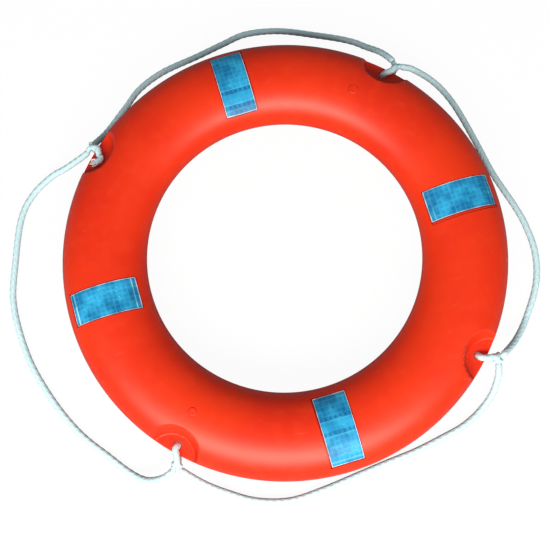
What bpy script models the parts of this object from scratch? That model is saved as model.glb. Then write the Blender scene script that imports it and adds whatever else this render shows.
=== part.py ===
"""Life ring: a hard shell filled with foam, with reflective tapes and a grab line in four loops.

The ring lies flat, its axis is +Z and its back touches z = 0. The tapes sit on the X and Y axes,
and the grab line is hitched through four webs between them. All sizes are in metres.
"""
import math

import bmesh
import bpy
from mathutils import Vector

# Ring body
OUTER_RADIUS = 0.365
INNER_RADIUS = 0.2265
THICKNESS = 0.100
SHELL_WALL = 0.003
CLEARANCE = 0.0003

# Pockets for the grab line, cut into the rim from the front and from the back
POCKET_CENTRE_BEYOND_RIM = 0.009
POCKET_FLOOR_RADIUS = 0.039
POCKET_DRAFT = math.radians(15.5)
POCKET_FLOOR_FILLET = 0.004
POCKET_OVERRUN = 0.010
COLUMN_WAIST_TURN = math.radians(60)
WEB_THICKNESS = 0.008
WEB_HOLE_RADIUS = 0.007
WEB_HOLE_FROM_RIM = 0.013
ANCHORS = {"top_right": 45, "top_left": 135, "bottom_left": 225, "bottom_right": 315}

# Reflective tapes, each in a shallow recess
TAPE_WIDTH = 0.052
TAPE_SHORT_OF_RIM = 0.01525
TAPE_THICKNESS = 0.0004
TAPE_RECESS_DEPTH = 0.0008
TAPE_RECESS_CUT_HEIGHT = 0.0024
TAPE_EDGE_GAP = 0.0005
TAPES = {"right": 0, "top": 90, "left": 180, "bottom": 270}

# Plugs of the foam's filling hole and vent hole
PLUG_LENGTH = 0.012
PLUG_BARB = 0.0007
PLUG_BARB_GAP = 0.0012
PLUG_BARB_LENGTH = 0.0021
PLUG_TIP_TAPER = 0.0021
PLUG_SUNK = 0.0004
FOAM_ROOM_ROUND_PLUG = 0.0012
PLUGS = {
    "fill_plug": {"bearing": 50.2, "inside_crown": 0.0057, "hole_radius": 0.008},
    "vent_plug": {"bearing": 225.0, "inside_crown": 0.0013, "hole_radius": 0.007},
}

# Grab line: where each hitch gathers, beyond the rim and to the side of its web hole
ROPE_DIAMETER = 0.010
THROAT_BALL_RADIUS = 0.009
THROATS = {
    "top_right": (0.015, -0.011),
    "top_left": (0.011, -0.007),
    "bottom_left": (0.015, 0.014),
    "bottom_right": (0.017, 0.013),
}
LOOP_POINT_SPACING = 0.030
LOOP_STRAIGHT_END = 0.007
TAIL_START = (0.0145, 0.0106)
TAIL_END = (0.0085, 0.0215)
TAIL_FRAY = 1.25
TAIL_PROFILE = ((0, 0.9), (0.35, 1), (0.7, 1.08), (1, TAIL_FRAY))

# Upper half of a hitch's eye: distance out, share of the throat's sideways place, and rise
# above the web. Distances are in knot radii near the knot and in rope radii near the hole
EYE_AT_KNOT = ((-0.38, 1, -0.82), (-0.95, 0.9, -0.12), (-1.7, 0.7, 0.16))
EYE_AT_HOLE = ((1.5, 0.35, 0.2), (0.6, 0.12, -0.16), (0.12, 0, -0.9), (0, 0, -1.5))

# Loops: bearing in degrees, distance beyond the rim and height, of the points each one passes
LOOPS = {
    "grab_line_top": ("top_right", "top_left", (
        (45.6, 0.024, 0.047), (48.8, 0.034, 0.032), (52.8, 0.043, 0.012), (57.4, 0.048, 0.005),
        (66.0, 0.047, 0.005), (75.0, 0.052, 0.005), (83.0, 0.052, 0.005), (89.0, 0.043, 0.005),
        (96.0, 0.036, 0.005), (105.7, 0.038, 0.005), (113.0, 0.036, 0.005), (118.7, 0.027, 0.005),
        (124.0, 0.022, 0.005), (128.0, 0.018, 0.014), (131.2, 0.015, 0.032))),
    "grab_line_left": ("top_left", "bottom_left", (
        (138.6, 0.020, 0.040), (140.8, 0.042, 0.025), (143.4, 0.064, 0.010), (148.5, 0.085, 0.005),
        (154.5, 0.094, 0.005), (164.0, 0.094, 0.005), (173.0, 0.099, 0.005), (184.2, 0.094, 0.005),
        (194.5, 0.086, 0.005), (204.1, 0.079, 0.005), (212.6, 0.070, 0.005), (218.0, 0.068, 0.006),
        (222.0, 0.062, 0.016), (225.0, 0.046, 0.036), (226.6, 0.027, 0.047))),
    "grab_line_bottom": ("bottom_left", "bottom_right", (
        (230.0, 0.021, 0.045), (234.5, 0.026, 0.022), (240.0, 0.030, 0.006), (247.0, 0.034, 0.005),
        (254.9, 0.031, 0.005), (263.0, 0.019, 0.005), (272.2, 0.010, 0.005), (279.6, 0.010, 0.005),
        (287.0, 0.017, 0.005), (293.9, 0.026, 0.005), (300.0, 0.037, 0.005), (305.4, 0.042, 0.006),
        (309.5, 0.041, 0.018), (312.9, 0.033, 0.038), (315.2, 0.024, 0.048))),
    "grab_line_right": ("bottom_right", "top_right", (
        (319.4, 0.027, 0.046), (323.8, 0.039, 0.020), (329.7, 0.049, 0.005), (338.0, 0.058, 0.005),
        (345.0, 0.057, 0.005), (351.3, 0.048, 0.005), (356.4, 0.038, 0.005), (361.5, 0.028, 0.005),
        (367.0, 0.022, 0.005), (376.6, 0.026, 0.005), (385.0, 0.037, 0.005), (390.6, 0.044, 0.006),
        (395.1, 0.042, 0.016), (399.4, 0.029, 0.040), (401.4, 0.021, 0.047))),
}

# Facets
SHELL_STEPS = 80
SHELL_SECTION_POINTS = 20
CORE_STEPS = 56
CORE_SECTION_POINTS = 16
POCKET_STEPS = 32
HOLE_STEPS = 16
FILLET_STEPS = 2
TAPE_CELLS = (8, 3)
ROPE_BEVEL_STEPS = 2
KNOT_FACETS = (12, 8)
ROUTE_STEPS = 24
MERGE_DISTANCE = 0.00001

MIDDLE_HEIGHT = THICKNESS / 2
CROWN_RADIUS = (OUTER_RADIUS + INNER_RADIUS) / 2
TUBE_HALF_WIDTH = (OUTER_RADIUS - INNER_RADIUS) / 2
TAPE_REACH = TUBE_HALF_WIDTH - TAPE_SHORT_OF_RIM
ROPE_RADIUS = ROPE_DIAMETER / 2


def clear_scene():
    for thing in list(bpy.data.objects):
        bpy.data.objects.remove(thing, do_unlink=True)


def new_collection(name, parent):
    collection = bpy.data.collections.new(name)
    parent.children.link(collection)
    return collection


def new_material(name, colour, roughness):
    material = bpy.data.materials.new(name)
    material.use_nodes = True
    shader = material.node_tree.nodes["Principled BSDF"]
    shader.inputs["Base Color"].default_value = (*colour, 1)
    shader.inputs["Roughness"].default_value = roughness
    shader.inputs["Metallic"].default_value = 0
    return material


def add_part(name, data, collection, material):
    part = bpy.data.objects.new(name, data)
    collection.objects.link(part)
    if not data.materials:
        data.materials.append(material)
    return part


def hide_cutter(cutter):
    cutter.hide_render = True
    cutter.display_type = "WIRE"
    return cutter


def at_bearing(bearing, radius, height=0.0, sideways=0.0):
    """A point at a bearing in degrees, moved sideways in the direction of growing bearing."""
    turn = math.radians(bearing)
    along = Vector((math.cos(turn), math.sin(turn), 0))
    across = Vector((-math.sin(turn), math.cos(turn), 0))
    return along * radius + across * sideways + Vector((0, 0, height))


def outline_mesh(name, points, closed):
    mesh = bpy.data.meshes.new(name)
    links = [(i, i + 1) for i in range(len(points) - 1)]
    if closed:
        links.append((len(points) - 1, 0))
    mesh.from_pydata([(r, 0, z) for r, z in points], links, [])
    return mesh


def turned(name, points, steps, collection, material, closed=False):
    """A profile of (radius, height) points, turned about Z. It runs down its outer side."""
    part = add_part(name, outline_mesh(name, points, closed), collection, material)
    screw = part.modifiers.new("Turn", "SCREW")
    screw.steps = steps
    screw.render_steps = steps
    screw.use_merge_vertices = True
    screw.merge_threshold = MERGE_DISTANCE
    screw.use_smooth_shade = True
    return part


def ring_section(inset, count):
    """The tube's oval section, drawn in by inset. Its crowns, rim and bore are flat facets."""
    half_step = math.pi / count
    outside = 1 / math.cos(half_step)
    points = []
    for i in range(count):
        turn = math.pi / 2 - half_step - i * 2 * half_step
        points.append((
            CROWN_RADIUS + (TUBE_HALF_WIDTH - inset) * outside * math.cos(turn),
            MIDDLE_HEIGHT + (MIDDLE_HEIGHT - inset) * outside * math.sin(turn),
        ))
    return points


def pocket_wall(grow, last_turn):
    """A pocket's drafted wall and the fillet at its foot, grown by grow, from the top down."""
    corner = (1 - math.sin(POCKET_DRAFT)) / math.cos(POCKET_DRAFT)
    base = WEB_THICKNESS / 2 - grow
    top = MIDDLE_HEIGHT + POCKET_OVERRUN
    foot = POCKET_FLOOR_RADIUS + grow * corner
    fillet = POCKET_FLOOR_FILLET + grow
    fillet_centre = (POCKET_FLOOR_RADIUS - POCKET_FLOOR_FILLET * corner, base + fillet)
    points = [(0, top), (foot + (top - base) * math.tan(POCKET_DRAFT), top)]
    first_turn = math.pi / 2 - POCKET_DRAFT
    for i in range(FILLET_STEPS + 1):
        turn = first_turn + (last_turn - first_turn) * i / FILLET_STEPS
        points.append((
            fillet_centre[0] + fillet * math.sin(turn),
            fillet_centre[1] - fillet * math.cos(turn),
        ))
    return points


def half_facet(steps):
    """Turns a cutter so that none of its facet edges runs along the ring's own facet edges."""
    return math.pi / steps


def pocket_cutter(name, bearing, side, collection, material):
    profile = pocket_wall(0, 0) + [(0, WEB_THICKNESS / 2)]
    cutter = turned(name, profile, POCKET_STEPS, collection, material)
    cutter.location = at_bearing(bearing, OUTER_RADIUS + POCKET_CENTRE_BEYOND_RIM, MIDDLE_HEIGHT)
    cutter.rotation_euler = (math.pi if side == "back" else 0, 0, half_facet(POCKET_STEPS))
    return hide_cutter(cutter)


def pocket_column(name, bearing, grow, collection, material):
    """Both pockets of an anchor and the web between them, grown by the wall, as one solid."""
    upper = pocket_wall(grow, COLUMN_WAIST_TURN)
    lower = [(r, -z) for r, z in reversed(upper)]
    cutter = turned(name, upper + lower, POCKET_STEPS, collection, material)
    cutter.location = at_bearing(bearing, OUTER_RADIUS + POCKET_CENTRE_BEYOND_RIM, MIDDLE_HEIGHT)
    cutter.rotation_euler = (0, 0, half_facet(POCKET_STEPS))
    return hide_cutter(cutter)


def cylinder(name, radius, low, high, place, collection, material):
    points = [(0, high), (radius, high), (radius, low), (0, low)]
    cutter = turned(name, points, HOLE_STEPS, collection, material)
    cutter.location = place
    cutter.rotation_euler = (0, 0, half_facet(HOLE_STEPS))
    return hide_cutter(cutter)


def tube_height(radius, inset):
    """Height of the tube's surface above its middle, drawn in by inset."""
    share = (radius - CROWN_RADIUS) / (TUBE_HALF_WIDTH - inset)
    return (MIDDLE_HEIGHT - inset) * math.sqrt(1 - share * share)


def tape_mesh(name, inset, margin):
    """A rectangle of tape laid over the tube's crown on the +X side, margin wider all round."""
    grid = bmesh.new()
    bmesh.ops.create_grid(grid, x_segments=TAPE_CELLS[0], y_segments=TAPE_CELLS[1], size=1)
    end_turn = math.asin((TAPE_REACH + margin) / TUBE_HALF_WIDTH)
    for vertex in grid.verts:
        along = CROWN_RADIUS + TUBE_HALF_WIDTH * math.sin(vertex.co.x * end_turn)
        across = vertex.co.y * (TAPE_WIDTH / 2 + margin)
        vertex.co = (along, across, tube_height(math.hypot(along, across), inset))
    mesh = bpy.data.meshes.new(name)
    grid.to_mesh(mesh)
    grid.free()
    return mesh


def lay_tape(part, bearing, side, thickness):
    """Turn a tape to its place on the front or the back and give it its thickness."""
    part.location = (0, 0, MIDDLE_HEIGHT)
    part.rotation_euler = (math.pi if side == "back" else 0, 0, math.radians(bearing))
    solidify = part.modifiers.new("Thickness", "SOLIDIFY")
    solidify.thickness = thickness
    solidify.offset = 1
    return part


def cut_with(part, cutters):
    boolean = part.modifiers.new("Cut", "BOOLEAN")
    boolean.operation = "DIFFERENCE"
    boolean.solver = "EXACT"
    boolean.operand_type = "COLLECTION"
    boolean.collection = cutters
    return part


def plug_place(facts):
    return at_bearing(facts["bearing"], CROWN_RADIUS - facts["inside_crown"], THICKNESS)


def make_core(name, inset, parts, cutters, material, plug_room):
    """The space inside the shell, or the foam in it: the tube drawn in, less the pockets."""
    cuts = new_collection(name + "_cuts", cutters)
    core = turned(name, ring_section(inset, CORE_SECTION_POINTS), CORE_STEPS, parts, material, True)
    for anchor, bearing in ANCHORS.items():
        pocket_column(f"{name}_{anchor}", bearing, inset, cuts, material)
    if plug_room:
        for plug, facts in PLUGS.items():
            radius = facts["hole_radius"] + plug_room
            deep = -PLUG_LENGTH - plug_room
            cylinder(f"{name}_{plug}", radius, deep, plug_room, plug_place(facts), cuts, material)
    return cut_with(core, cuts)


def make_shell(parts, cutters, material):
    cuts = new_collection("shell_cuts", cutters)
    shell = turned("ring_shell", ring_section(0, SHELL_SECTION_POINTS), SHELL_STEPS, parts, material, True)
    for anchor, bearing in ANCHORS.items():
        for side in ("front", "back"):
            pocket_cutter(f"pocket_{side}_{anchor}", bearing, side, cuts, material)
        hole = at_bearing(bearing, OUTER_RADIUS - WEB_HOLE_FROM_RIM, MIDDLE_HEIGHT)
        reach = WEB_THICKNESS
        cylinder(f"hole_{anchor}", WEB_HOLE_RADIUS, -reach, reach, hole, cuts, material)
    recess = tape_mesh("tape_recess", TAPE_RECESS_DEPTH, TAPE_EDGE_GAP)
    for place, bearing in TAPES.items():
        for side in ("front", "back"):
            cutter = add_part(f"recess_{side}_{place}", recess, cuts, material)
            hide_cutter(lay_tape(cutter, bearing, side, TAPE_RECESS_CUT_HEIGHT))
    for plug, facts in PLUGS.items():
        depth = SHELL_WALL * 2
        radius = facts["hole_radius"]
        cylinder(f"{plug}_hole", radius, -depth, depth, plug_place(facts), cuts, material)
    hide_cutter(make_core("cavity", SHELL_WALL, cuts, cutters, material, 0))
    return cut_with(shell, cuts)


def make_tapes(parts, material):
    inset = TAPE_RECESS_DEPTH - CLEARANCE
    mesh = tape_mesh("reflective_tape", inset, 0)
    for place, bearing in TAPES.items():
        for side in ("front", "back"):
            tape = add_part(f"tape_{side}_{place}", mesh, parts, material)
            lay_tape(tape, bearing, side, TAPE_THICKNESS)


def make_plug(name, facts, parts, material):
    """A press-in plug: a head flush with the crown, a neck through the wall and a barbed tip."""
    neck = facts["hole_radius"] - CLEARANCE
    barb = facts["hole_radius"] + PLUG_BARB
    barb_top = -SHELL_WALL - PLUG_BARB_GAP
    barb_end = barb_top - PLUG_BARB_LENGTH
    points = [
        (0, -PLUG_SUNK),
        (neck - PLUG_SUNK, -PLUG_SUNK),
        (neck, -PLUG_SUNK * 2),
        (neck, barb_top),
        (barb, barb_top),
        (neck, barb_end),
        (neck - PLUG_TIP_TAPER, -PLUG_LENGTH),
        (0, -PLUG_LENGTH),
    ]
    plug = turned(name, points, HOLE_STEPS, parts, material)
    plug.location = plug_place(facts)
    return plug


def throat_centre(anchor):
    beyond, sideways = THROATS[anchor]
    return at_bearing(ANCHORS[anchor], OUTER_RADIUS + beyond, MIDDLE_HEIGHT, sideways)


def tube_curve(name, points, radii=None):
    curve = bpy.data.curves.new(name, "CURVE")
    curve.dimensions = "3D"
    curve.bevel_depth = ROPE_RADIUS
    curve.bevel_resolution = ROPE_BEVEL_STEPS
    curve.use_fill_caps = True
    spline = curve.splines.new("POLY")
    spline.points.add(len(points) - 1)
    for place, point in enumerate(points):
        spline.points[place].co = (*point, 1)
        spline.points[place].radius = radii[place] if radii else 1
    return curve


def mesh_from_curve(name, curve, parts, material):
    """A curve's tube as a mesh with its caps joined on, so that it can take a Boolean."""
    guide = bpy.data.objects.new(name + "_guide", curve)
    parts.objects.link(guide)
    bpy.context.view_layer.update()
    mesh = bpy.data.meshes.new_from_object(guide.evaluated_get(bpy.context.evaluated_depsgraph_get()))
    weld = bmesh.new()
    weld.from_mesh(mesh)
    bmesh.ops.remove_doubles(weld, verts=weld.verts, dist=MERGE_DISTANCE)
    weld.to_mesh(mesh)
    weld.free()
    place = guide.matrix_world.copy()
    bpy.data.objects.remove(guide, do_unlink=True)
    part = add_part(name, mesh, parts, material)
    part.matrix_world = place
    return part


def make_hitch(anchor, parts, cutters, material):
    """The rope's eye through the web hole, gathered in a knot just outside the rim."""
    bearing = ANCHORS[anchor]
    beyond, sideways = THROATS[anchor]
    over_web = WEB_THICKNESS / 2 + ROPE_RADIUS + CLEARANCE
    half_eye = []
    for start, unit, rows in (
        (beyond, THROAT_BALL_RADIUS, EYE_AT_KNOT),
        (-WEB_HOLE_FROM_RIM, ROPE_RADIUS, EYE_AT_HOLE),
    ):
        for out, share, rise in rows:
            half_eye.append((start + out * unit, sideways * share, over_web + rise * ROPE_RADIUS))
    eye = half_eye + [(u, v, -w) for u, v, w in reversed(half_eye)]
    points = [at_bearing(bearing, OUTER_RADIUS + u, MIDDLE_HEIGHT + w, v) for u, v, w in eye]
    name = "hitch_" + anchor
    hitch = mesh_from_curve(name, tube_curve(name, points), parts, material)
    knot = bmesh.new()
    around, down = KNOT_FACETS
    bmesh.ops.create_uvsphere(knot, u_segments=around, v_segments=down, radius=THROAT_BALL_RADIUS)
    knot_mesh = bpy.data.meshes.new(name + "_knot")
    knot.to_mesh(knot_mesh)
    knot.free()
    knot_part = hide_cutter(add_part(name + "_knot", knot_mesh, cutters, material))
    knot_part.location = throat_centre(anchor)
    union = hitch.modifiers.new("Knot", "BOOLEAN")
    union.operation = "UNION"
    union.solver = "EXACT"
    union.object = knot_part
    return hitch


def smooth_route(points, spacing):
    """Evenly spaced points of a smooth curve through the given ones, without the outer two."""
    fine = []
    for p0, p1, p2, p3 in zip(points, points[1:], points[2:], points[3:]):
        for i in range(ROUTE_STEPS):
            t = i / ROUTE_STEPS
            bend = (p0 * -1 + p1 * 3 - p2 * 3 + p3) * t + (p0 * 2 - p1 * 5 + p2 * 4 - p3)
            point = p1 + ((p2 - p0) + bend * t) * t / 2
            point.z = max(point.z, ROPE_RADIUS)
            fine.append(point)
    fine.append(points[-2])
    lengths = [(b - a).length for a, b in zip(fine, fine[1:])]
    count = round(sum(lengths) / spacing)
    step = sum(lengths) / count
    route, run = [fine[0]], 0.0
    for start, end, length in zip(fine, fine[1:], lengths):
        while run + length >= step * len(route) and len(route) < count:
            route.append(start.lerp(end, (step * len(route) - run) / length))
        run += length
    return route + [fine[-1]]


def loop_points(first_anchor, last_anchor, passed):
    """The loop's route: straight out of each knot, and a smooth curve between."""
    middle = [at_bearing(b, OUTER_RADIUS + beyond, height) for b, beyond, height in passed]
    ends = []
    for anchor, near in ((first_anchor, middle[0]), (last_anchor, middle[-1])):
        centre = throat_centre(anchor)
        way = (near - centre).normalized()
        start = THROAT_BALL_RADIUS + CLEARANCE
        ends.append((centre + way * start, centre + way * (start + LOOP_STRAIGHT_END)))
    (first, first_straight), (last, last_straight) = ends
    curve = [first, first_straight, *middle[1:-1], last_straight, last]
    return [first, *smooth_route(curve, LOOP_POINT_SPACING), last]


def make_loop(name, facts, parts, material):
    """One loop of the grab line. Its origin is on the line between its two knots."""
    first_anchor, last_anchor, passed = facts
    origin = (throat_centre(first_anchor) + throat_centre(last_anchor)) / 2
    points = [point - origin for point in loop_points(first_anchor, last_anchor, passed)]
    loop = add_part(name, tube_curve(name, points), parts, material)
    loop.location = origin
    return loop


def make_tail(parts, material):
    """The rope's short frayed end, lying on the web beside its hitch."""
    height = MIDDLE_HEIGHT + WEB_THICKNESS / 2 + ROPE_RADIUS * TAIL_FRAY + CLEARANCE
    ends = [
        at_bearing(ANCHORS["top_left"], OUTER_RADIUS - from_rim, height, sideways)
        for from_rim, sideways in (TAIL_START, TAIL_END)
    ]
    points = [ends[0].lerp(ends[1], share) for share, _ in TAIL_PROFILE]
    radii = [swell for _, swell in TAIL_PROFILE]
    return add_part("rope_tail", tube_curve("rope_tail", points, radii), parts, material)


def build():
    clear_scene()
    scene = bpy.context.scene.collection
    parts = new_collection("life_ring", scene)
    cutters = new_collection("cutters", scene)
    orange = new_material("orange_polyethylene", (0.88, 0.045, 0.012), 0.42)
    foam = new_material("rigid_foam", (0.82, 0.72, 0.45), 0.9)
    silver = new_material("reflective_tape", (0.05, 0.36, 0.62), 0.3)
    rope = new_material("white_rope", (0.86, 0.9, 0.92), 0.75)
    for anchor in ANCHORS:
        make_hitch(anchor, parts, cutters, rope)
    for name, facts in LOOPS.items():
        make_loop(name, facts, parts, rope)
    make_tail(parts, rope)
    for name, facts in PLUGS.items():
        make_plug(name, facts, parts, orange)
    make_tapes(parts, silver)
    make_core("foam_core", SHELL_WALL + CLEARANCE, parts, cutters, foam, FOAM_ROOM_ROUND_PLUG)
    make_shell(parts, cutters, orange)


build()
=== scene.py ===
import math

import bmesh
import bpy
import numpy as np
from mathutils import Matrix, Vector


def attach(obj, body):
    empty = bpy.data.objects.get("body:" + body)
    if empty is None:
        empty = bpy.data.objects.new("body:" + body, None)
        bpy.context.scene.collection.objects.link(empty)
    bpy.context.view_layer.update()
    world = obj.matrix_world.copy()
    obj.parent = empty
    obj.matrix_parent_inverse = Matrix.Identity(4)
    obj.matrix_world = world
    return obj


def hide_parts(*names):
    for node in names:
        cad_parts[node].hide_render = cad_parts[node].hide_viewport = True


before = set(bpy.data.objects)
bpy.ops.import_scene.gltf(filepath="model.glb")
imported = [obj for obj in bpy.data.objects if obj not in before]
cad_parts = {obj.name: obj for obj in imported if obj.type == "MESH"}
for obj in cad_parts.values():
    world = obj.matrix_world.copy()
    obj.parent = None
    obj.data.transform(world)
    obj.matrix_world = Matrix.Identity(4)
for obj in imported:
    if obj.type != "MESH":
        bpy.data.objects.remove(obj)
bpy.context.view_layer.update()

# Sizes that several pieces share, as in the solids, in metres
ring = {
    "outerRadius": 0.365, "innerRadius": 0.2265, "thickness": 0.100,
    "anchors": {"TopRight": 45, "TopLeft": 135, "BottomLeft": 225, "BottomRight": 315},
    "webThickness": 0.008, "holeRadius": 0.007, "holeFromRim": 0.013,
}
crown = (ring["outerRadius"] + ring["innerRadius"]) / 2
halfWidth = (ring["outerRadius"] - ring["innerRadius"]) / 2
middle = ring["thickness"] / 2


class Wire:  # one socket of a material, where maths on it adds its own Math nodes
    def __init__(self, tree, socket=None):
        self.tree, self.socket = tree, socket

    def feed(self, entry, value):
        if isinstance(value, Wire):
            self.tree.links.new(value.socket, entry)
        else:
            entry.default_value = value

    def node(self, kind, settings=None, values=None, out=0):
        made = self.tree.nodes.new("ShaderNode" + kind)
        for key, value in (settings or {}).items():
            setattr(made, key, value)
        for key, value in (values or {}).items():
            self.feed(made.inputs[key], value)
        return Wire(self.tree, made.outputs[out])

    def sum(self, operation, first, second):
        return self.node("Math", {"operation": operation}, {0: first, 1: second})

    def __add__(self, other):
        return self.sum("ADD", self, other)

    def __radd__(self, other):
        return self.sum("ADD", other, self)

    def __sub__(self, other):
        return self.sum("SUBTRACT", self, other)

    def __rsub__(self, other):
        return self.sum("SUBTRACT", other, self)

    def __mul__(self, other):
        return self.sum("MULTIPLY", self, other)

    def __rmul__(self, other):
        return self.sum("MULTIPLY", other, self)

    def __abs__(self):
        return self.sum("ABSOLUTE", self, 0.0)

    def step(self, low, high):  # from 0 at the low value to 1 at the high one
        return self.node("MapRange", {"interpolation_type": "SMOOTHSTEP"},
                         {"Value": self, "From Min": low, "From Max": high})

    def mix(self, first, second):  # a colour between two, by this socket
        return self.node("Mix", {"data_type": "RGBA"}, {0: self, 6: first, 7: second}, 2)


def newMaterial(name, fixed):
    material = bpy.data.materials.new(name)
    material.use_nodes = True
    shader = material.node_tree.nodes["Principled BSDF"]
    for key, value in fixed.items():
        shader.inputs[key].default_value = value
    return material, shader, Wire(material.node_tree)


def rgb(red, green, blue):
    return (red, green, blue, 1)


# Materials
plasticLook = {"colour": rgb(0.93, 0.034, 0.001), "faded": rgb(0.95, 0.045, 0.003),
               "deep": rgb(0.86, 0.024, 0.001), "scuffed": rgb(0.92, 0.22, 0.12),
               "paintedShade": rgb(0.13, 0.004, 0.006), "roughness": 0.42, "peel": 0.00006}
# painted shade: its colour is above; below is where it lies, in dark lines along the tape recesses' walls and
# the tapes' long edges
paintedShadeForm = {"pastSides": (0.038, 0.045), "pastEnds": (0.82, 0.86), "wallTop": (0.0002, 0.0006),
             "wallFoot": (0.0012, 0.00135), "floor": (0.0010, 0.00125), "tapeSide": (0.0270, 0.0284)}


def plastic(name, look):
    material, shader, wire = newMaterial(name, {"IOR": 1.5, "Specular IOR Level": 0.55,
                                                "Specular Tint": rgb(1.0, 0.95, 0.86)})
    place = wire.node("TexCoord", out=3)
    split = wire.node("SeparateXYZ", values={"Vector": place}).socket.node.outputs
    x, y, z = [Wire(wire.tree, split[k]) for k in range(3)]
    clouds = wire.node("TexNoise", values={"Vector": place, "Scale": 7.0, "Detail": 3.0})
    fine = wire.node("TexNoise", values={"Vector": place, "Scale": 60.0, "Detail": 4.0})
    peel = wire.node("TexNoise", values={"Vector": place, "Scale": 650.0, "Detail": 2.0})
    stretched = wire.node("Mapping", values={"Vector": place, "Rotation": (0, 0, 0.5), "Scale": (9, 70, 40)})
    scuff = wire.node("TexNoise", values={"Vector": stretched, "Scale": 2.0, "Detail": 5.0}).step(0.66, 0.76)
    body = clouds.step(0.35, 0.68).mix(look["deep"], look["colour"])
    body = (fine.step(0.45, 0.8) * 0.5).mix(body, look["faded"])
    body = (scuff * 0.14).mix(body, look["scuffed"])
    fromCrown = (wire.sum("SQRT", x * x + y * y, 0.0) - crown) * (1 / halfWidth)
    openFace = wire.sum("SQRT", 1 - fromCrown * fromCrown, 0.0) * middle
    depth = openFace - abs(z - middle)  # below the ring's plain round section
    beside = wire.sum("MINIMUM", abs(x), abs(y))  # from the middle line of the nearest tape
    nearTape = (1 - beside.step(*paintedShadeForm["pastSides"])) * (1 - abs(fromCrown).step(*paintedShadeForm["pastEnds"]))
    wallLine = depth.step(*paintedShadeForm["wallTop"]) * (1 - depth.step(*paintedShadeForm["wallFoot"]))
    pastTape = depth.step(*paintedShadeForm["floor"]) * (1 - beside.step(*paintedShadeForm["tapeSide"]))
    paintedShade = wire.sum("MAXIMUM", wallLine, pastTape) * nearTape  # painted shade along the recesses' walls and the tapes' edges, where shade falls
    # the base colour is darkened there with painted shade
    body = (paintedShade * (0.70 + fine * 0.30)).mix(body, look["paintedShade"])
    wire.feed(shader.inputs["Base Color"], body)
    wire.feed(shader.inputs["Roughness"], look["roughness"] + fine * 0.10 - 0.05 + scuff * 0.12)
    bump = wire.node("Bump", values={"Strength": 0.35, "Distance": look["peel"], "Height": peel + fine * 2.0})
    wire.feed(shader.inputs["Normal"], bump)
    return material


tapeLook = {"deep": rgb(0.001, 0.150, 0.37), "light": rgb(0.032, 0.49, 0.84), "line": rgb(0.13, 0.66, 0.90),
            "seal": rgb(0.50, 0.88, 0.94), "edge": rgb(0.86, 0.74, 0.80), "cell": 0.0079, "edgeWidth": 0.0011,
            "innerEdgeWidth": 0.0016, "phase": -0.0006, "batchShift": (0.158, 0.079, 0.3),
            "tileJoints": (-0.0420, -0.0183), "fromJoint": (0.0036, 0.0050), "rowHalf": (0.0030, 0.0040),
            "lineHalf": (0.0003, 0.0009), "seals": (-0.0470, 0.0478), "sealHalf": (0.0004, 0.0008)}


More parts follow.
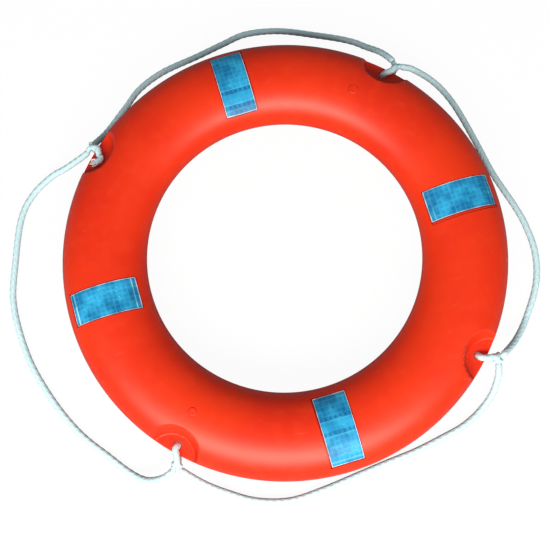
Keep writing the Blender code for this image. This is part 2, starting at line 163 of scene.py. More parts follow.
def reflectiveFilm(name, look, halfLength, halfBreadth):
    material, shader, wire = newMaterial(name, {"Coat Roughness": 0.12, "IOR": 1.5,
                                                "Specular IOR Level": 0.3})
    place = wire.node("TexCoord", out=3)
    split = wire.node("SeparateXYZ", values={"Vector": place}).socket.node.outputs
    along, across = Wire(wire.tree, split[0]) - crown, Wire(wire.tree, split[1])
    batch = wire.node("Attribute", {"attribute_name": "batch"}, out=2)  # which piece of film this is
    shiftX, shiftY, shiftZ = look["batchShift"]
    start = wire.node("CombineXYZ", values={"X": batch * shiftX + look["phase"], "Y": batch * shiftY,
                                            "Z": batch * shiftZ})
    cut = wire.node("VectorMath", {"operation": "ADD"}, {0: place, 1: start})
    cells = {"Vector": cut, "Scale": 1 / look["cell"], "Randomness": 0.10}
    rounds = wire.node("TexVoronoi", {"voronoi_dimensions": "2D"}, cells)
    squares = wire.node("TexVoronoi", {"voronoi_dimensions": "2D", "distance": "CHEBYCHEV"}, cells)
    cellColour = wire.node("TexVoronoi", {"voronoi_dimensions": "2D"}, cells, 1)
    tint = wire.node("SeparateColor", values={"Color": cellColour})
    ribs = squares.step(0.34, 0.50)
    buttons = 1 - rounds.step(0.16, 0.42)
    dots = buttons * (0.10 + tint * 0.90)
    cloud = wire.node("TexNoise", values={"Vector": cut, "Scale": 38.0, "Detail": 3.0})
    grain = wire.node("TexNoise", values={"Vector": cut, "Scale": 420.0, "Detail": 2.0})
    fleck = grain.step(0.66, 0.72) * cloud.step(0.50, 0.62)
    colour = (cloud.step(0.34, 0.68) * 0.78 + grain * 0.20).mix(look["deep"], look["light"])
    colour = (ribs * 0.14).mix(colour, look["line"])
    colour = (dots * 0.30).mix(colour, look["deep"])
    jointsAndSheen = wire.node("Attribute", {"attribute_name": "jointsAndSheen"}, out=2)
    run = along - wire.node("Attribute", {"attribute_name": "tileShift"}, out=2)
    low, high = look["tileJoints"]
    near, far = look["fromJoint"]
    paintedSheenBand = run.step(low + near, low + far) * (1 - run.step(high - far, high - near))
    # painted reflection: the tile towards the inner end is made lighter, as strongly as each tape's value gives
    colour = (paintedSheenBand * jointsAndSheen * 0.45).mix(colour, look["light"])
    for joint in look["tileJoints"]:  # the film is moulded in tiles: a dark row of cells ends in a light line
        row = 1 - abs(run - joint).step(*look["rowHalf"])
        colour = (row * jointsAndSheen * (0.36 + buttons * 0.54)).mix(colour, look["deep"])
        line = 1 - abs(run - joint - look["cell"] / 2).step(*look["lineHalf"])
        colour = (line * jointsAndSheen * 0.45).mix(colour, look["line"])
    pressed = wire.node("Attribute", {"attribute_name": "pressed"}, out=2)
    for seal, half in zip(look["seals"], look["sealHalf"]):  # pressed lines near the ends, clear on one tape
        line = 1 - abs(along - seal).step(half, half + 0.0005)
        colour = (line * pressed * (0.35 + cloud.step(0.46, 0.52) * 0.65)).mix(colour, look["seal"])
    colour = (fleck * 0.6).mix(colour, look["seal"])
    sides, ends = abs(across), abs(along)
    width, inner = look["edgeWidth"], look["innerEdgeWidth"]
    rim = wire.sum("MAXIMUM", sides.step(halfBreadth - width, halfBreadth - width * 0.7),
                   ends.step(halfLength - width, halfLength - width * 0.7))
    rim = wire.sum("MAXIMUM", rim, (0 - along).step(halfLength - inner, halfLength - inner * 0.85))
    press = wire.sum("MAXIMUM", sides.step(halfBreadth - width * 2.2, halfBreadth - width * 1.2),
                     ends.step(halfLength - width * 2.6, halfLength - width * 1.6))
    colour = (press * 0.45).mix(colour, look["deep"])
    colour = (rim * (0.45 + cloud.step(0.42, 0.55) * 0.50)).mix(colour, look["edge"])
    wire.feed(shader.inputs["Base Color"], colour)
    wire.feed(shader.inputs["Roughness"], 0.42 + cloud * 0.16)
    wire.feed(shader.inputs["Coat Weight"], 0.16 - grain * 0.1)
    height = ribs * 0.7 - dots * 0.6 + rim
    bump = wire.node("Bump", values={"Strength": 0.45, "Distance": 0.00015, "Height": height})
    wire.feed(shader.inputs["Normal"], bump)
    return material


ropeLook = {"yarn": rgb(0.68, 0.90, 0.93), "shade": rgb(0.28, 0.64, 0.74), "worn": rgb(0.58, 0.87, 0.92),
            "frayed": rgb(0.90, 0.94, 0.94)}


def plaitedRope(name, look):
    material, shader, wire = newMaterial(name, {"Roughness": 0.7, "IOR": 1.49})
    place = wire.node("TexCoord", out=3)
    crevice = wire.node("Attribute", {"attribute_name": "crevice"}, out=2)
    worn = wire.node("TexNoise", values={"Vector": place, "Scale": 55.0, "Detail": 3.0})
    yarns = wire.node("TexNoise", values={"Vector": place, "Scale": 1900.0, "Detail": 2.0})
    colour = (worn.step(0.45, 0.75) * 0.7).mix(look["yarn"], look["worn"])
    colour = (crevice.step(0.45, 1.0) * 0.75).mix(colour, look["shade"])
    colour = (yarns.step(0.5, 0.8) * 0.12).mix(colour, look["shade"])
    colour = (0 - crevice).step(0.2, 0.8).mix(colour, look["frayed"])  # below 0 on the loose fibres
    wire.feed(shader.inputs["Base Color"], colour)
    wire.feed(shader.inputs["Roughness"], 0.62 + yarns * 0.2)
    bump = wire.node("Bump", values={"Strength": 0.5, "Distance": 0.00025, "Height": yarns})
    wire.feed(shader.inputs["Normal"], bump)
    return material


foamLook = {"deep": rgb(0.80, 0.68, 0.40), "light": rgb(0.86, 0.77, 0.52), "poreShade": rgb(0.55, 0.42, 0.20)}


def rigidFoam(name, look):
    material, shader, wire = newMaterial(name, {"Roughness": 0.92})
    place = wire.node("TexCoord", out=3)
    pores = wire.node("TexVoronoi", values={"Vector": place, "Scale": 420.0})
    cloud = wire.node("TexNoise", values={"Vector": place, "Scale": 24.0, "Detail": 3.0})
    colour = cloud.step(0.3, 0.7).mix(look["deep"], look["light"])
    # the pores are darkened with painted shade
    wire.feed(shader.inputs["Base Color"], (1 - pores.step(0.1, 0.5)).mix(colour, look["poreShade"]))
    wire.feed(shader.inputs["Normal"], wire.node("Bump", values={"Distance": 0.0004, "Height": pores}))
    return material


# Meshes
def atBearing(bearing, radius, height=0.0, sideways=0.0):
    turn = math.radians(bearing)
    along, across = Vector((math.cos(turn), math.sin(turn), 0)), Vector((-math.sin(turn), math.cos(turn), 0))
    return along * radius + across * sideways + Vector((0, 0, height))


def gridFaces(rows, columns, closeRows, closeColumns):
    i = np.arange(rows if closeRows else rows - 1)[:, None]
    j = np.arange(columns if closeColumns else columns - 1)[None, :]
    nextI, nextJ = (i + 1) % rows, (j + 1) % columns
    corners = [i * columns + j, nextI * columns + j, nextI * columns + nextJ, i * columns + nextJ]
    return np.stack(corners, -1).reshape(-1, 4)


def addPiece(name, points, faces, material, sharpAngle=None):
    mesh = bpy.data.meshes.new(name)
    mesh.from_pydata([tuple(p) for p in np.asarray(points).reshape(-1, 3)], [], [list(f) for f in faces])
    mesh.materials.append(material)
    tidy = bmesh.new()
    tidy.from_mesh(mesh)
    bmesh.ops.recalc_face_normals(tidy, faces=tidy.faces)
    tidy.to_mesh(mesh)
    tidy.free()
    mesh.shade_smooth()
    if sharpAngle:
        mesh.set_sharp_from_angle(angle=math.radians(sharpAngle))
    piece = bpy.data.objects.new(name, mesh)
    bpy.context.scene.collection.objects.link(piece)
    return piece


def slab(name, lower, upper, material, sharpAngle=None):  # a closed sheet between two grids of points
    rows, columns = lower.shape[:2]
    count = rows * columns
    faces = gridFaces(rows, columns, False, False)
    index = np.arange(count).reshape(rows, columns)
    edge = np.concatenate([index[0, :-1], index[:-1, -1], index[-1, :0:-1], index[:0:-1, 0]])
    walls = np.stack([edge, np.roll(edge, -1), np.roll(edge, -1) + count, edge + count], -1)
    points = np.vstack([lower.reshape(-1, 3), upper.reshape(-1, 3)])
    allFaces = np.vstack([faces, faces[:, ::-1] + count, walls])
    return addPiece(name, points, allFaces, material, sharpAngle)


def lathe(name, profile, steps, material, sharpAngle=None):  # closed by its ends, which lie on the axis
    turn = np.linspace(0, 2 * math.pi, steps, endpoint=False)[:, None]
    radius, height = np.array(profile[1:-1]).T
    points = np.stack([radius * np.cos(turn), radius * np.sin(turn), height + 0 * turn], -1)
    columns = len(radius)
    count = steps * columns
    faces = [list(f) for f in gridFaces(steps, columns, True, False)]
    for pole, column in ((count, 0), (count + 1, columns - 1)):
        faces += [[pole, i * columns + column, (i + 1) % steps * columns + column] for i in range(steps)]
    poles = [(0, 0, profile[0][1]), (0, 0, profile[-1][1])]
    return addPiece(name, np.vstack([points.reshape(-1, 3), poles]), faces, material, sharpAngle)


def softMin(a, b, blend):
    share = np.clip(0.5 + 0.5 * (b - a) / blend, 0, 1)
    return b * (1 - share) + a * share - blend * share * (1 - share)


def tubeHeight(radius, inset):
    return (middle - inset) * np.sqrt(np.clip(1 - ((radius - crown) / (halfWidth - inset)) ** 2, 0, 1))


# Ring shell
shellForm = {"pocketBeyondRim": 0.009, "pocketFloorRadius": 0.039, "pocketDraft": 15.5,
             "footBlend": 0.007, "lipBlend": 0.006, "seamDepth": 0.00025, "seamWidth": 0.0006,
             "finePocketDegrees": 9.5, "fineStep": 0.26, "plainStep": 1.5, "holeSteps": 48,
             "seatSteps": 64, "seatTop": 0.004, "seatFloor": -0.003, "sharpAngle": 38}
plugForm = {"fillPlug": {"bearing": 50.2, "insideCrown": 0.0057, "radius": 0.008, "node": "fill_plug"},
            "ventPlug": {"bearing": 225.0, "insideCrown": 0.0013, "radius": 0.007, "node": "vent_plug"}}
tapeForm = {"reach": 0.054, "breadth": 0.052, "thickness": 0.0004, "aboveFloor": 0.0003,
            "recessDepth": 0.0014, "edgeGap": 0.0009, "wallSlope": 0.0012, "cutterTop": 0.0024,
            "spareSide": {"Right": 0.0042, "Top": 0.0012, "Left": 0.0030, "Bottom": 0.0014},
            "pressed": {"Right": 0.30, "Top": 0.05, "Left": 1.0, "Bottom": 0.20},
            # per tape: the strength of its dark tile rows and light lines, and of its painted reflection band
            "jointsAndSheen": {"Right": 0.25, "Top": 1.0, "Left": 0.20, "Bottom": 0.80},
            "tileShift": {"Right": 0.0, "Top": 0.0, "Left": 0.0, "Bottom": 0.0237},
            "bearings": {"Right": 0, "Top": 90, "Left": 180, "Bottom": 270}}


def shellBearings(form):
    bearings = []
    for anchor in ring["anchors"].values():
        half = form["finePocketDegrees"]
        bearings += list(np.arange(anchor - half, anchor + half, form["fineStep"]))
        bearings += list(np.arange(anchor + half, anchor + 90 - half - 0.5, form["plainStep"]))
    return np.radians(bearings)[:, None]


def shellSection():
    near = np.arange(-70, 70, 1.2)
    far = np.arange(70, 290, 3.0)
    seam = np.array([-0.9, -0.45, 0.45, 0.9, 179.1, 179.55, 180.45, 180.9])
    return np.radians(np.unique(np.round(np.concatenate([near, far, seam]), 3)))[None, :]


def tapeGrid(inset, margin=0.0, spare=0.0, cells=(48, 24)):  # spare is the room left on one long side
    end = math.asin((tapeForm["reach"] + margin) / halfWidth)
    x = crown + halfWidth * np.sin(np.linspace(-end, end, cells[0]))[:, None]
    side = tapeForm["breadth"] / 2 + margin
    y = np.linspace(-side - spare, side, cells[1])[None, :]
    x, y = np.broadcast_arrays(x, y)
    return np.stack([x, y, tubeHeight(np.hypot(x, y), inset)], -1)


def placeTape(piece, bearing, back):
    piece.location = (0, 0, middle)
    piece.rotation_euler = (math.pi if back else 0, 0, math.radians(bearing))


def makeShell(form, material):
    bearing, section = shellBearings(form), shellSection()
    radius = crown + halfWidth * np.cos(section) + 0 * bearing
    height = middle * np.sin(section) + 0 * bearing
    seam = form["seamDepth"] * np.exp(-(height / form["seamWidth"]) ** 2)
    radius = radius + seam * (np.cos(section) < 0)  # a fine groove round the middle of the bore
    x, y, up = radius * np.cos(bearing), radius * np.sin(bearing), np.abs(height)
    for anchor in ring["anchors"].values():
        centre = atBearing(anchor, ring["outerRadius"] + form["pocketBeyondRim"])
        wall = np.hypot(x - centre.x, y - centre.y) - form["pocketFloorRadius"]
        wall = wall / math.tan(math.radians(form["pocketDraft"]))
        pocket = ring["webThickness"] / 2 - softMin(0 * wall, -wall, form["footBlend"])
        up = softMin(up, pocket, form["lipBlend"])
    points = np.stack([x, y, middle + np.sign(height) * np.maximum(up, 0)], -1)
    shell = addPiece("ringShell", points, gridFaces(*points.shape[:2], True, True), material)
    cutters = bpy.data.collections.new("shellCutters")
    bpy.context.scene.collection.children.link(cutters)
    made = []
    for name, anchor in ring["anchors"].items():
        tall, wide = ring["webThickness"] * 1.5, ring["holeRadius"]
        profile = [(0, tall), (wide, tall), (wide, -tall), (0, -tall)]
        made.append(lathe("hole" + name, profile, form["holeSteps"], material))
        made[-1].location = atBearing(anchor, ring["outerRadius"] - ring["holeFromRim"], middle)
    for name, plug in plugForm.items():
        wide, top, floor = plug["radius"], form["seatTop"], form["seatFloor"]
        profile = [(0, top), (wide, top), (wide, floor), (0, floor)]
        made.append(lathe("seat" + name, profile, form["seatSteps"], material))
        made[-1].location = atBearing(plug["bearing"], crown - plug["insideCrown"], ring["thickness"])
    for place, turn in tapeForm["bearings"].items():
        for back in (False, True):
            gap, spare = tapeForm["edgeGap"], tapeForm["spareSide"][place]
            lower = tapeGrid(tapeForm["recessDepth"], gap, spare)
            upper = tapeGrid(-tapeForm["cutterTop"], gap + tapeForm["wallSlope"], spare)
            cutter = slab("recess" + place, lower, upper, material)
            placeTape(cutter, turn, back)
            made.append(cutter)
    for cutter in made:
        bpy.context.scene.collection.objects.unlink(cutter)
        cutters.objects.link(cutter)
    cut = shell.modifiers.new("Cut", "BOOLEAN")
    cut.operation, cut.solver = "DIFFERENCE", "EXACT"
    cut.operand_type, cut.collection = "COLLECTION", cutters
    bpy.context.view_layer.update()
    cutShell = shell.evaluated_get(bpy.context.evaluated_depsgraph_get())
    shell.data = bpy.data.meshes.new_from_object(cutShell)
    shell.modifiers.clear()
    for cutter in made:
        bpy.data.objects.remove(cutter, do_unlink=True)
    bpy.data.collections.remove(cutters)
    shell.data.materials.clear()
    shell.data.materials.append(material)
    shell.data.shade_smooth()
    shell.data.set_sharp_from_angle(angle=math.radians(form["sharpAngle"]))
    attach(shell, "ring")
    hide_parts("ring_shell")
    return shell


def makePlug(name, form, material):
    neck, top = form["radius"] - 0.0003, -0.0001
    profile = [(0, top - 0.0003), (neck * 0.55, top - 0.0002), (neck - 0.0012, top),
               (neck - 0.0004, top - 0.00015), (neck, top - 0.0006), (neck, -0.0040),
               (neck + 0.0009, -0.0044), (neck, -0.0065), (neck - 0.0021, -0.0115), (0, -0.0120)]
    plug = lathe(name, profile, 64, material, 40)
    plug.location = atBearing(form["bearing"], crown - form["insideCrown"], ring["thickness"])
    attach(plug, "ring")
    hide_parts(form["node"])
    return plug


def makeTape(place, back, material):
    upper = tapeForm["recessDepth"] - tapeForm["aboveFloor"] - tapeForm["thickness"]
    lowerFace, upperFace = tapeGrid(upper + tapeForm["thickness"]), tapeGrid(upper)
    tape = slab(f"tape{'Back' if back else 'Front'}{place}", lowerFace, upperFace, material, 40)
    facts = {fact: tapeForm[fact][place] for fact in ("pressed", "jointsAndSheen", "tileShift")}
    facts["batch"] = float(list(tapeForm["bearings"]).index(place) + (4 if back else 0))
    for fact, value in facts.items():  # what the film's material reads
        layer = tape.data.attributes.new(fact, "FLOAT", "POINT")
        layer.data.foreach_set("value", [value] * len(tape.data.vertices))
    placeTape(tape, tapeForm["bearings"][place], back)
    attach(tape, "ring")
    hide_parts(f"tape_{'back' if back else 'front'}_{place.lower()}")
    return tape


# Grab line
ropeForm = {"diameter": 0.010, "strands": 4, "turn": 0.048, "around": 28, "spacing": 0.0012,
            "relief": 0.0012, "proud": 0.0005, "endShare": 0.40, "endTaper": 0.0070,
            "fromThroat": (0.0045, 0.0163)}
hitchForm = {"knotRadius": 0.009, "aboveWeb": 0.0003, "spacing": 0.0010,
             "bow": {"TopRight": -0.0030, "TopLeft": -0.0045, "BottomLeft": -0.0045, "BottomRight": -0.0060},
             "bowShares": (0.1, 0.55, 0.95, 0.9, 0.45, 0, 0),
             "turnDiameter": 0.0076, "turnRadius": 0.0052, "turnHalfWidth": 0.0036,
             "turnFrom": -40, "turnDegrees": 450, "turnSteps": 14}
throats = {"TopRight": (0.015, -0.011), "TopLeft": (0.011, -0.007),
           "BottomLeft": (0.015, 0.014), "BottomRight": (0.017, 0.013)}
loops = {  # bearing in degrees, distance beyond the rim and height of the points that each loop passes
    "Top": ("TopRight", "TopLeft", (
        (45.6, 0.024, 0.047), (48.8, 0.034, 0.032), (52.8, 0.043, 0.012), (57.4, 0.048, 0.005),
        (66.0, 0.047, 0.005), (75.0, 0.052, 0.005), (83.0, 0.052, 0.005), (89.0, 0.043, 0.005),
        (96.0, 0.036, 0.005), (105.7, 0.038, 0.005), (113.0, 0.036, 0.005), (118.7, 0.027, 0.005),
        (124.0, 0.022, 0.005), (128.0, 0.018, 0.014), (131.2, 0.015, 0.032))),
    "Left": ("TopLeft", "BottomLeft", (
        (138.6, 0.020, 0.040), (140.8, 0.042, 0.025), (143.4, 0.064, 0.010), (148.5, 0.085, 0.005),
        (154.5, 0.094, 0.005), (164.0, 0.094, 0.005), (173.0, 0.099, 0.005), (184.2, 0.094, 0.005),
        (194.5, 0.086, 0.005), (204.1, 0.079, 0.005), (212.6, 0.070, 0.005), (218.0, 0.068, 0.006),
        (222.0, 0.062, 0.016), (225.0, 0.046, 0.036), (226.6, 0.027, 0.047))),
    "Bottom": ("BottomLeft", "BottomRight", (
        (230.0, 0.021, 0.045), (234.5, 0.026, 0.022), (240.0, 0.030, 0.006), (247.0, 0.034, 0.005),
        (254.9, 0.031, 0.005), (263.0, 0.019, 0.005), (272.2, 0.010, 0.005), (279.6, 0.010, 0.005),
        (287.0, 0.017, 0.005), (293.9, 0.026, 0.005), (300.0, 0.037, 0.005), (305.4, 0.042, 0.006),
        (309.5, 0.041, 0.018), (312.9, 0.033, 0.038), (315.2, 0.024, 0.048))),
    "Right": ("BottomRight", "TopRight", (
        (319.4, 0.027, 0.046), (323.8, 0.039, 0.020), (329.7, 0.049, 0.005), (338.0, 0.058, 0.005),
        (345.0, 0.057, 0.005), (351.3, 0.048, 0.005), (356.4, 0.038, 0.005), (361.5, 0.028, 0.005),
        (367.0, 0.022, 0.005), (376.6, 0.026, 0.005), (385.0, 0.037, 0.005), (390.6, 0.044, 0.006),
        (395.1, 0.042, 0.016), (399.4, 0.029, 0.040), (401.4, 0.021, 0.047))),
}


def throatCentre(name):
    beyond, sideways = throats[name]
    return atBearing(ring["anchors"][name], ring["outerRadius"] + beyond, middle, sideways)


def smoothRoute(points, spacing, lowest=None):  # evenly spaced points of a smooth curve through all of them
    given = [2 * points[0] - points[1], *points, 2 * points[-1] - points[-2]]
    fine = []
    for p0, p1, p2, p3 in zip(given, given[1:], given[2:], given[3:]):
        for i in range(24):
            t = i / 24
            bend = (p0 * -1 + p1 * 3 - p2 * 3 + p3) * t + (p0 * 2 - p1 * 5 + p2 * 4 - p3)
            point = p1 + ((p2 - p0) + bend * t) * t / 2
            if lowest is not None:
                point.z = max(point.z, lowest)
            fine.append(point)
    fine = np.array([*fine, points[-1]])
    run = np.concatenate([[0], np.cumsum(np.linalg.norm(np.diff(fine, axis=0), axis=1))])
    places = np.linspace(0, run[-1], max(4, round(run[-1] / spacing)))
    return np.stack([np.interp(places, run, fine[:, k]) for k in range(3)], -1), places


def plait(form, angle, run):  # height of an eight-strand plait, from 0 in its crevices to 1
    one = form["strands"] * (angle / (2 * math.pi) - run / form["turn"])
    two = form["strands"] * (angle / (2 * math.pi) + run / form["turn"])
    heights = []
    for mine, other, sign in ((one, two, 1), (two, one, -1)):
        rounded = np.sqrt(np.clip(1 - (2 * (mine % 1) - 1) ** 2, 0, 1))
        over = sign * np.cos(math.pi * (other - 0.5) + math.pi * np.floor(mine))
        heights.append(0.62 * rounded + 0.38 * (0.5 + 0.5 * over))
    return np.clip(np.maximum(*heights), 0, 1)


def ropeMesh(form, points, places, swell=None):
    ahead = np.gradient(points, axis=0)
    ahead /= np.linalg.norm(ahead, axis=1)[:, None]
    side = np.cross(ahead[0], (0.0, 0.0, 1.0))
    if np.linalg.norm(side) < 0.2:
        side = np.cross(ahead[0], (1.0, 0.0, 0.0))
    sides = []
    for direction in ahead:
        side = side - direction * (side @ direction)
        side = side / np.linalg.norm(side)
        sides.append(side)
    sides = np.array(sides)
    ups = np.cross(ahead, sides)
    angle = np.linspace(0, 2 * math.pi, form["around"], endpoint=False)[None, :]
    relief = plait(form, angle, places[:, None])
    radius = form["diameter"] / 2 + form["proud"] - form["relief"] * (1 - relief)
    if swell is not None:
        radius = radius * swell[:, None]
    circles = sides[:, None] * np.cos(angle)[..., None] + ups[:, None] * np.sin(angle)[..., None]
    tube = points[:, None] + circles * radius[..., None]
    return tube, 1 - relief


def joinTubes(name, tubes, material):
    points, faces, crevices, start = [], [], [], 0
    for tube, crevice in tubes:
        rows, columns = crevice.shape
        points += [tube.reshape(-1, 3), tube[0].mean(0)[None], tube[-1].mean(0)[None]]
        crevices += [crevice.ravel(), [0.5, 0.5]]
        faces += (gridFaces(rows, columns, False, True) + start).tolist()
        count = rows * columns
        for row, pole in ((0, count), (rows - 1, count + 1)):
            faces += [[start + pole, start + row * columns + j, start + row * columns + (j + 1) % columns]
                      for j in range(columns)]
        start += count + 2
    piece = addPiece(name, np.vstack(points), faces, material)
    layer = piece.data.attributes.new("crevice", "FLOAT", "POINT")
    layer.data.foreach_set("value", np.concatenate(crevices).astype(np.float32))
    return piece


def makeLoop(name, facts, material):
    first, last, passed = facts
    middlePoints = [atBearing(b, ring["outerRadius"] + beyond, height) for b, beyond, height in passed]
    ends = []
    for anchor, near in ((first, middlePoints[0]), (last, middlePoints[-1])):
        centre = throatCentre(anchor)
        way = (near - centre).normalized()
        ends.append([centre + way * distance for distance in ropeForm["fromThroat"]])
    route = [*ends[0], *middlePoints[1:-1], *reversed(ends[1])]
    points, places = smoothRoute(route, ropeForm["spacing"], ropeForm["diameter"] / 2)
    fromEnd = np.minimum(places, places[-1] - places)
    thin = ropeForm["endShare"]  # of its thickness, at the ends in the knots, for room to swing
    swell = np.clip(thin + (1 - thin) * fromEnd / ropeForm["endTaper"], 0, 1)
    loop = joinTubes("grabLine" + name, [ropeMesh(ropeForm, points, places, swell)], material)
    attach(loop, name.lower() + "_loop")
    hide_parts("grab_line_" + name.lower())
    return loop


def makeHitch(name, material):
    bearing, (beyond, sideways) = ring["anchors"][name], throats[name]
    radius = ropeForm["diameter"] / 2
    overWeb = ring["webThickness"] / 2 + radius + hitchForm["aboveWeb"]
    hole, ball = -ring["holeFromRim"], hitchForm["knotRadius"]
    half = [(beyond - ball * 0.38, sideways, overWeb - 0.82 * radius),
            (beyond - ball * 0.95, sideways * 0.9, overWeb - 0.12 * radius),
            (beyond - ball * 1.7, sideways * 0.7, overWeb + 0.16 * radius),
            (hole + 1.5 * radius, sideways * 0.35, overWeb + 0.2 * radius),
            (hole + 0.6 * radius, sideways * 0.12, overWeb - 0.16 * radius),
            (hole + 0.12 * radius, 0, overWeb - 0.9 * radius), (hole, 0, overWeb - 1.5 * radius)]
    bow, spacing = hitchForm["bow"][name], hitchForm["spacing"]
    half = [(u, v + bow * share, w) for (u, v, w), share in zip(half, hitchForm["bowShares"])]
    eye = half + [(u, v, -w) for u, v, w in reversed(half)]  # back under the web the same way
    route = [atBearing(bearing, ring["outerRadius"] + u, middle + w, v) for u, v, w in eye]
    tubes = [ropeMesh(ropeForm, *smoothRoute(route, spacing))]
    centre = throatCentre(name)
    axis = (centre - atBearing(bearing, ring["outerRadius"] + hole, middle)).normalized()
    across = axis.cross(Vector((0, 0, 1))).normalized()
    drawn = dict(ropeForm, diameter=hitchForm["turnDiameter"], relief=0.0008, proud=0.0003, turn=0.036)
    turns, steps, halfWide = [], hitchForm["turnSteps"], hitchForm["turnHalfWidth"]
    for i in range(steps + 1):  # a turn and a quarter of the line, drawn tight round the gathered strands
        angle = math.radians(hitchForm["turnFrom"] + hitchForm["turnDegrees"] * i / steps)
        out = across * math.cos(angle) + Vector((0, 0, 1)) * math.sin(angle)
        turns.append(centre + out * hitchForm["turnRadius"] + axis * (-halfWide + 2 * halfWide * i / steps))
    tubes.append(ropeMesh(drawn, *smoothRoute(turns, spacing)))
    hitch = joinTubes("hitch" + name, tubes, material)
    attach(hitch, "ring")
    level, side = "top" if "Top" in name else "bottom", "right" if "Right" in name else "left"
    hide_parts(f"hitch_{level}_{side}")
    return hitch


tailForm = {"points": ((0.3495, -0.0010), (0.3478, 0.0038), (0.3492, 0.0092), (0.3525, 0.0138)),
            "aboveWeb": 0.0056, "spacing": 0.0010, "tufts": 9, "tuftTurn": 2.4, "fibresEach": 8,
            "fibreRadius": 0.0006, "fibreLengths": (0.0050, 0.0095), "spread": 0.0065, "seed": 7}


def makeTail(form, material):
    height = middle + ring["webThickness"] / 2 + form["aboveWeb"]
    route = [atBearing(ring["anchors"]["TopLeft"], r, height, s) for r, s in form["points"]]
    points, places = smoothRoute(route, form["spacing"])
    share = places / places[-1]
    swell = 0.95 + 0.15 * share ** 2 - 0.45 * np.clip(share - 0.8, 0, 1) / 0.2
    tubes = [ropeMesh(ropeForm, points, places, swell)]
    lowest = middle + ring["webThickness"] / 2 + form["fibreRadius"]
    end, ahead = points[-1], points[-1] - points[-4]
    ahead = ahead / np.linalg.norm(ahead)
    side = np.cross(ahead, (0, 0, 1))
    thin = dict(ropeForm, diameter=form["fibreRadius"] * 2, relief=0.0, proud=0.0, around=6)
    random = np.random.default_rng(form["seed"])
    for i in range(form["tufts"]):
        angle, reach = form["tuftTurn"] * i, math.sqrt((i + 0.5) / form["tufts"])
        out = side * math.cos(angle) + np.array((0, 0, 1.0)) * math.sin(angle)
        tuft = end + ahead * random.uniform(*form["fibreLengths"]) + out * form["spread"] * reach
        for j in range(form["fibresEach"]):
            apart = random.uniform(-1, 1, 3)
            start = end - ahead * 0.003 + out * 0.0040 * reach + apart * 0.0012
            tip = tuft + apart * 0.0007 - ahead * random.uniform(0, 0.0020)
            tip[2] = max(tip[2], lowest)
            bent = [Vector(start), Vector((start + tip) / 2 + out * 0.0005), Vector(tip)]
            fibre, crevice = ropeMesh(thin, *smoothRoute(bent, form["spacing"], lowest))
            tubes.append((fibre, crevice * 0 - 1))  # -1 marks a loose fibre for the material
    tail = joinTubes("ropeTail", tubes, material)
    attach(tail, "ring")
    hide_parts("rope_tail")
    return tail


# Stage: the light comes from the lower side of the picture
stageForm = {"floorHalf": 6.0, "floorColour": rgb(0.20, 0.25, 0.27), "seenWhite": 0.95, "mirroredWhite": 0.05,
             "sky": 0.27, "skyColour": rgb(0.84, 0.95, 1.0), "keyPower": 136.0, "keySize": (4.8, 1.3),
             "keyColour": (1, 0.98, 0.94), "keyOut": 2.12, "keyLeft": 0.16, "keyUp": 2.10,
             "shadeCentre": (0.0024, 0.0108, 0), "shadeInner": 0.2400, "shadeOuter": 0.3730, "shadeEdge": 0.005}
cameraForm = {"lens": 58.29, "sensor": 36, "place": (-0.06928, -0.30752, 1.47783),
              "target": (-0.02484, -0.02854, 0.05), "up": (0.2829, 0.9591, 0)}


def makeCamera(form):
    data = bpy.data.cameras.new("photoCamera")
    data.lens, data.sensor_width = form["lens"], form["sensor"]
    camera = bpy.data.objects.new("photoCamera", data)
    bpy.context.scene.collection.objects.link(camera)
    place, target = Vector(form["place"]), Vector(form["target"])
    ahead = (target - place).normalized()
    right = ahead.cross(Vector(form["up"])).normalized()
    turned = Matrix((right, right.cross(ahead), -ahead)).transposed().to_4x4()
    camera.matrix_world = Matrix.Translation(place) @ turned
    bpy.context.scene.camera = camera


def addLamp(name, place, size, power, colour):
    data = bpy.data.lights.new(name, "AREA")
    data.shape, data.energy, data.color = "ELLIPSE", power, colour
    data.size, data.size_y = size
    lamp = bpy.data.objects.new(name, data)
    bpy.context.scene.collection.objects.link(lamp)
    lamp.location = place
    lamp.rotation_euler = (Vector((0, 0, middle)) - Vector(place)).to_track_quat("-Z", "Y").to_euler()


def rayKinds(wire):  # the camera's rays, and those that show the stage in a gloss or through glass
    path = wire.node("LightPath").socket.node.outputs
    kinds = ("Camera", "Glossy", "Transmission")
    camera, glossy, through = [Wire(wire.tree, path[f"Is {kind} Ray"]) for kind in kinds]
    return camera, wire.sum("MAXIMUM", glossy, through)


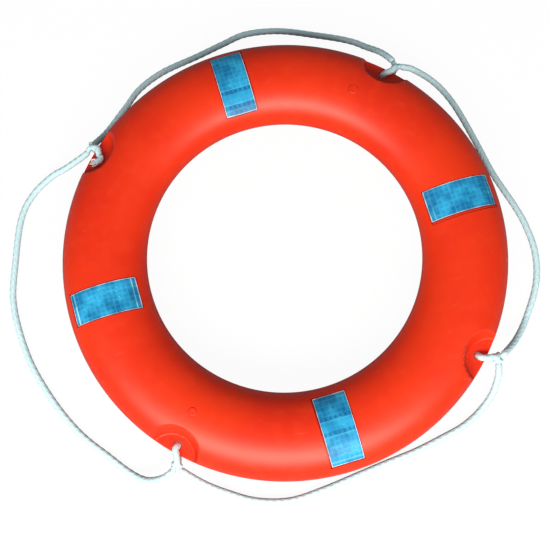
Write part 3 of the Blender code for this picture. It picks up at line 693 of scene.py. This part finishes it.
def makeFloor():
    half = stageForm["floorHalf"]
    corners = [(-half, -half, 0), (half, -half, 0), (half, half, 0), (-half, half, 0)]
    material, shader, wire = newMaterial("paleFloor", {"Roughness": 0.9})
    glow = wire.node("Emission", values={"Color": rgb(1, 1, 1), "Strength": 1.0})
    place = wire.node("TexCoord", out=3)
    fromMiddle = wire.node("VectorMath", {"operation": "SUBTRACT"}, {0: place, 1: stageForm["shadeCentre"]})
    reach = wire.node("VectorMath", {"operation": "LENGTH"}, {0: fromMiddle}, 1)
    inner, outer, edge = [stageForm[key] for key in ("shadeInner", "shadeOuter", "shadeEdge")]
    beneath = reach.step(inner, inner + edge) * (1 - reach.step(outer - edge, outer))  # painted shade: here the floor drops its white and shows its darker colour, where the ring's shadow falls
    camera, mirrored = rayKinds(wire)
    white = wire.sum("MAXIMUM", camera * stageForm["seenWhite"], mirrored * stageForm["mirroredWhite"])
    share = white * (1 - beneath)
    colour = (camera * (1 - beneath)).mix(stageForm["floorColour"], rgb(1, 1, 1))
    wire.feed(shader.inputs["Base Color"], colour)
    out = wire.node("MixShader", values={0: share, 1: Wire(wire.tree, shader.outputs[0]), 2: glow})
    wire.feed(wire.tree.nodes["Material Output"].inputs["Surface"], out)
    floor = addPiece("paleFloor", corners, [(0, 1, 2, 3)], material)
    floor.location.z = -0.0005  # as low as the line's raised yarns reach


def makeSky():
    world = bpy.data.worlds.new("plainSky")
    world.use_nodes = True
    bpy.context.scene.world = world
    wire = Wire(world.node_tree)
    camera, mirrored = rayKinds(wire)
    shown = wire.sum("MAXIMUM", camera, mirrored)
    tone = shown.mix(stageForm["skyColour"], rgb(1, 1, 1))
    white = wire.sum("MAXIMUM", camera, mirrored * stageForm["mirroredWhite"])
    wire.feed(world.node_tree.nodes["Background"].inputs["Color"], tone)
    wire.feed(world.node_tree.nodes["Background"].inputs["Strength"], white + (1 - shown) * stageForm["sky"])


makeCamera(cameraForm)
orange = plastic("orangePolyethylene", plasticLook)
plugOrange = plastic("plugPolyethylene", dict(plasticLook, roughness=0.46))
film = reflectiveFilm("reflectiveFilm", tapeLook, tapeForm["reach"], tapeForm["breadth"] / 2)
line = plaitedRope("plaitedLine", ropeLook)
for name, facts in loops.items():
    makeLoop(name, facts, line)
print("grab line laid in", len(loops), "loops")
for name in ring["anchors"]:
    makeHitch(name, line)
makeTail(tailForm, line)
print("hitches and frayed end made")
makeShell(shellForm, orange)
print("ring shell made")
for name, form in plugForm.items():
    makePlug(name, form, plugOrange)
for place in tapeForm["bearings"]:
    for back in (False, True):
        makeTape(place, back, film)
print("plugs and tapes made")
foam = rigidFoam("rigidFoam", foamLook)
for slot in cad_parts["foam_core"].material_slots:
    slot.material = foam
makeFloor()
makeSky()
upward = Vector(cameraForm["up"])  # in the picture
leftward = Vector((-upward.y, upward.x, 0))
keyPlace = leftward * stageForm["keyLeft"] - upward * stageForm["keyOut"]
keyPlace.z = stageForm["keyUp"]
addLamp("keyLamp", keyPlace, stageForm["keySize"], stageForm["keyPower"], stageForm["keyColour"])
bpy.context.scene.view_settings.view_transform = "Standard"
print("stage set")
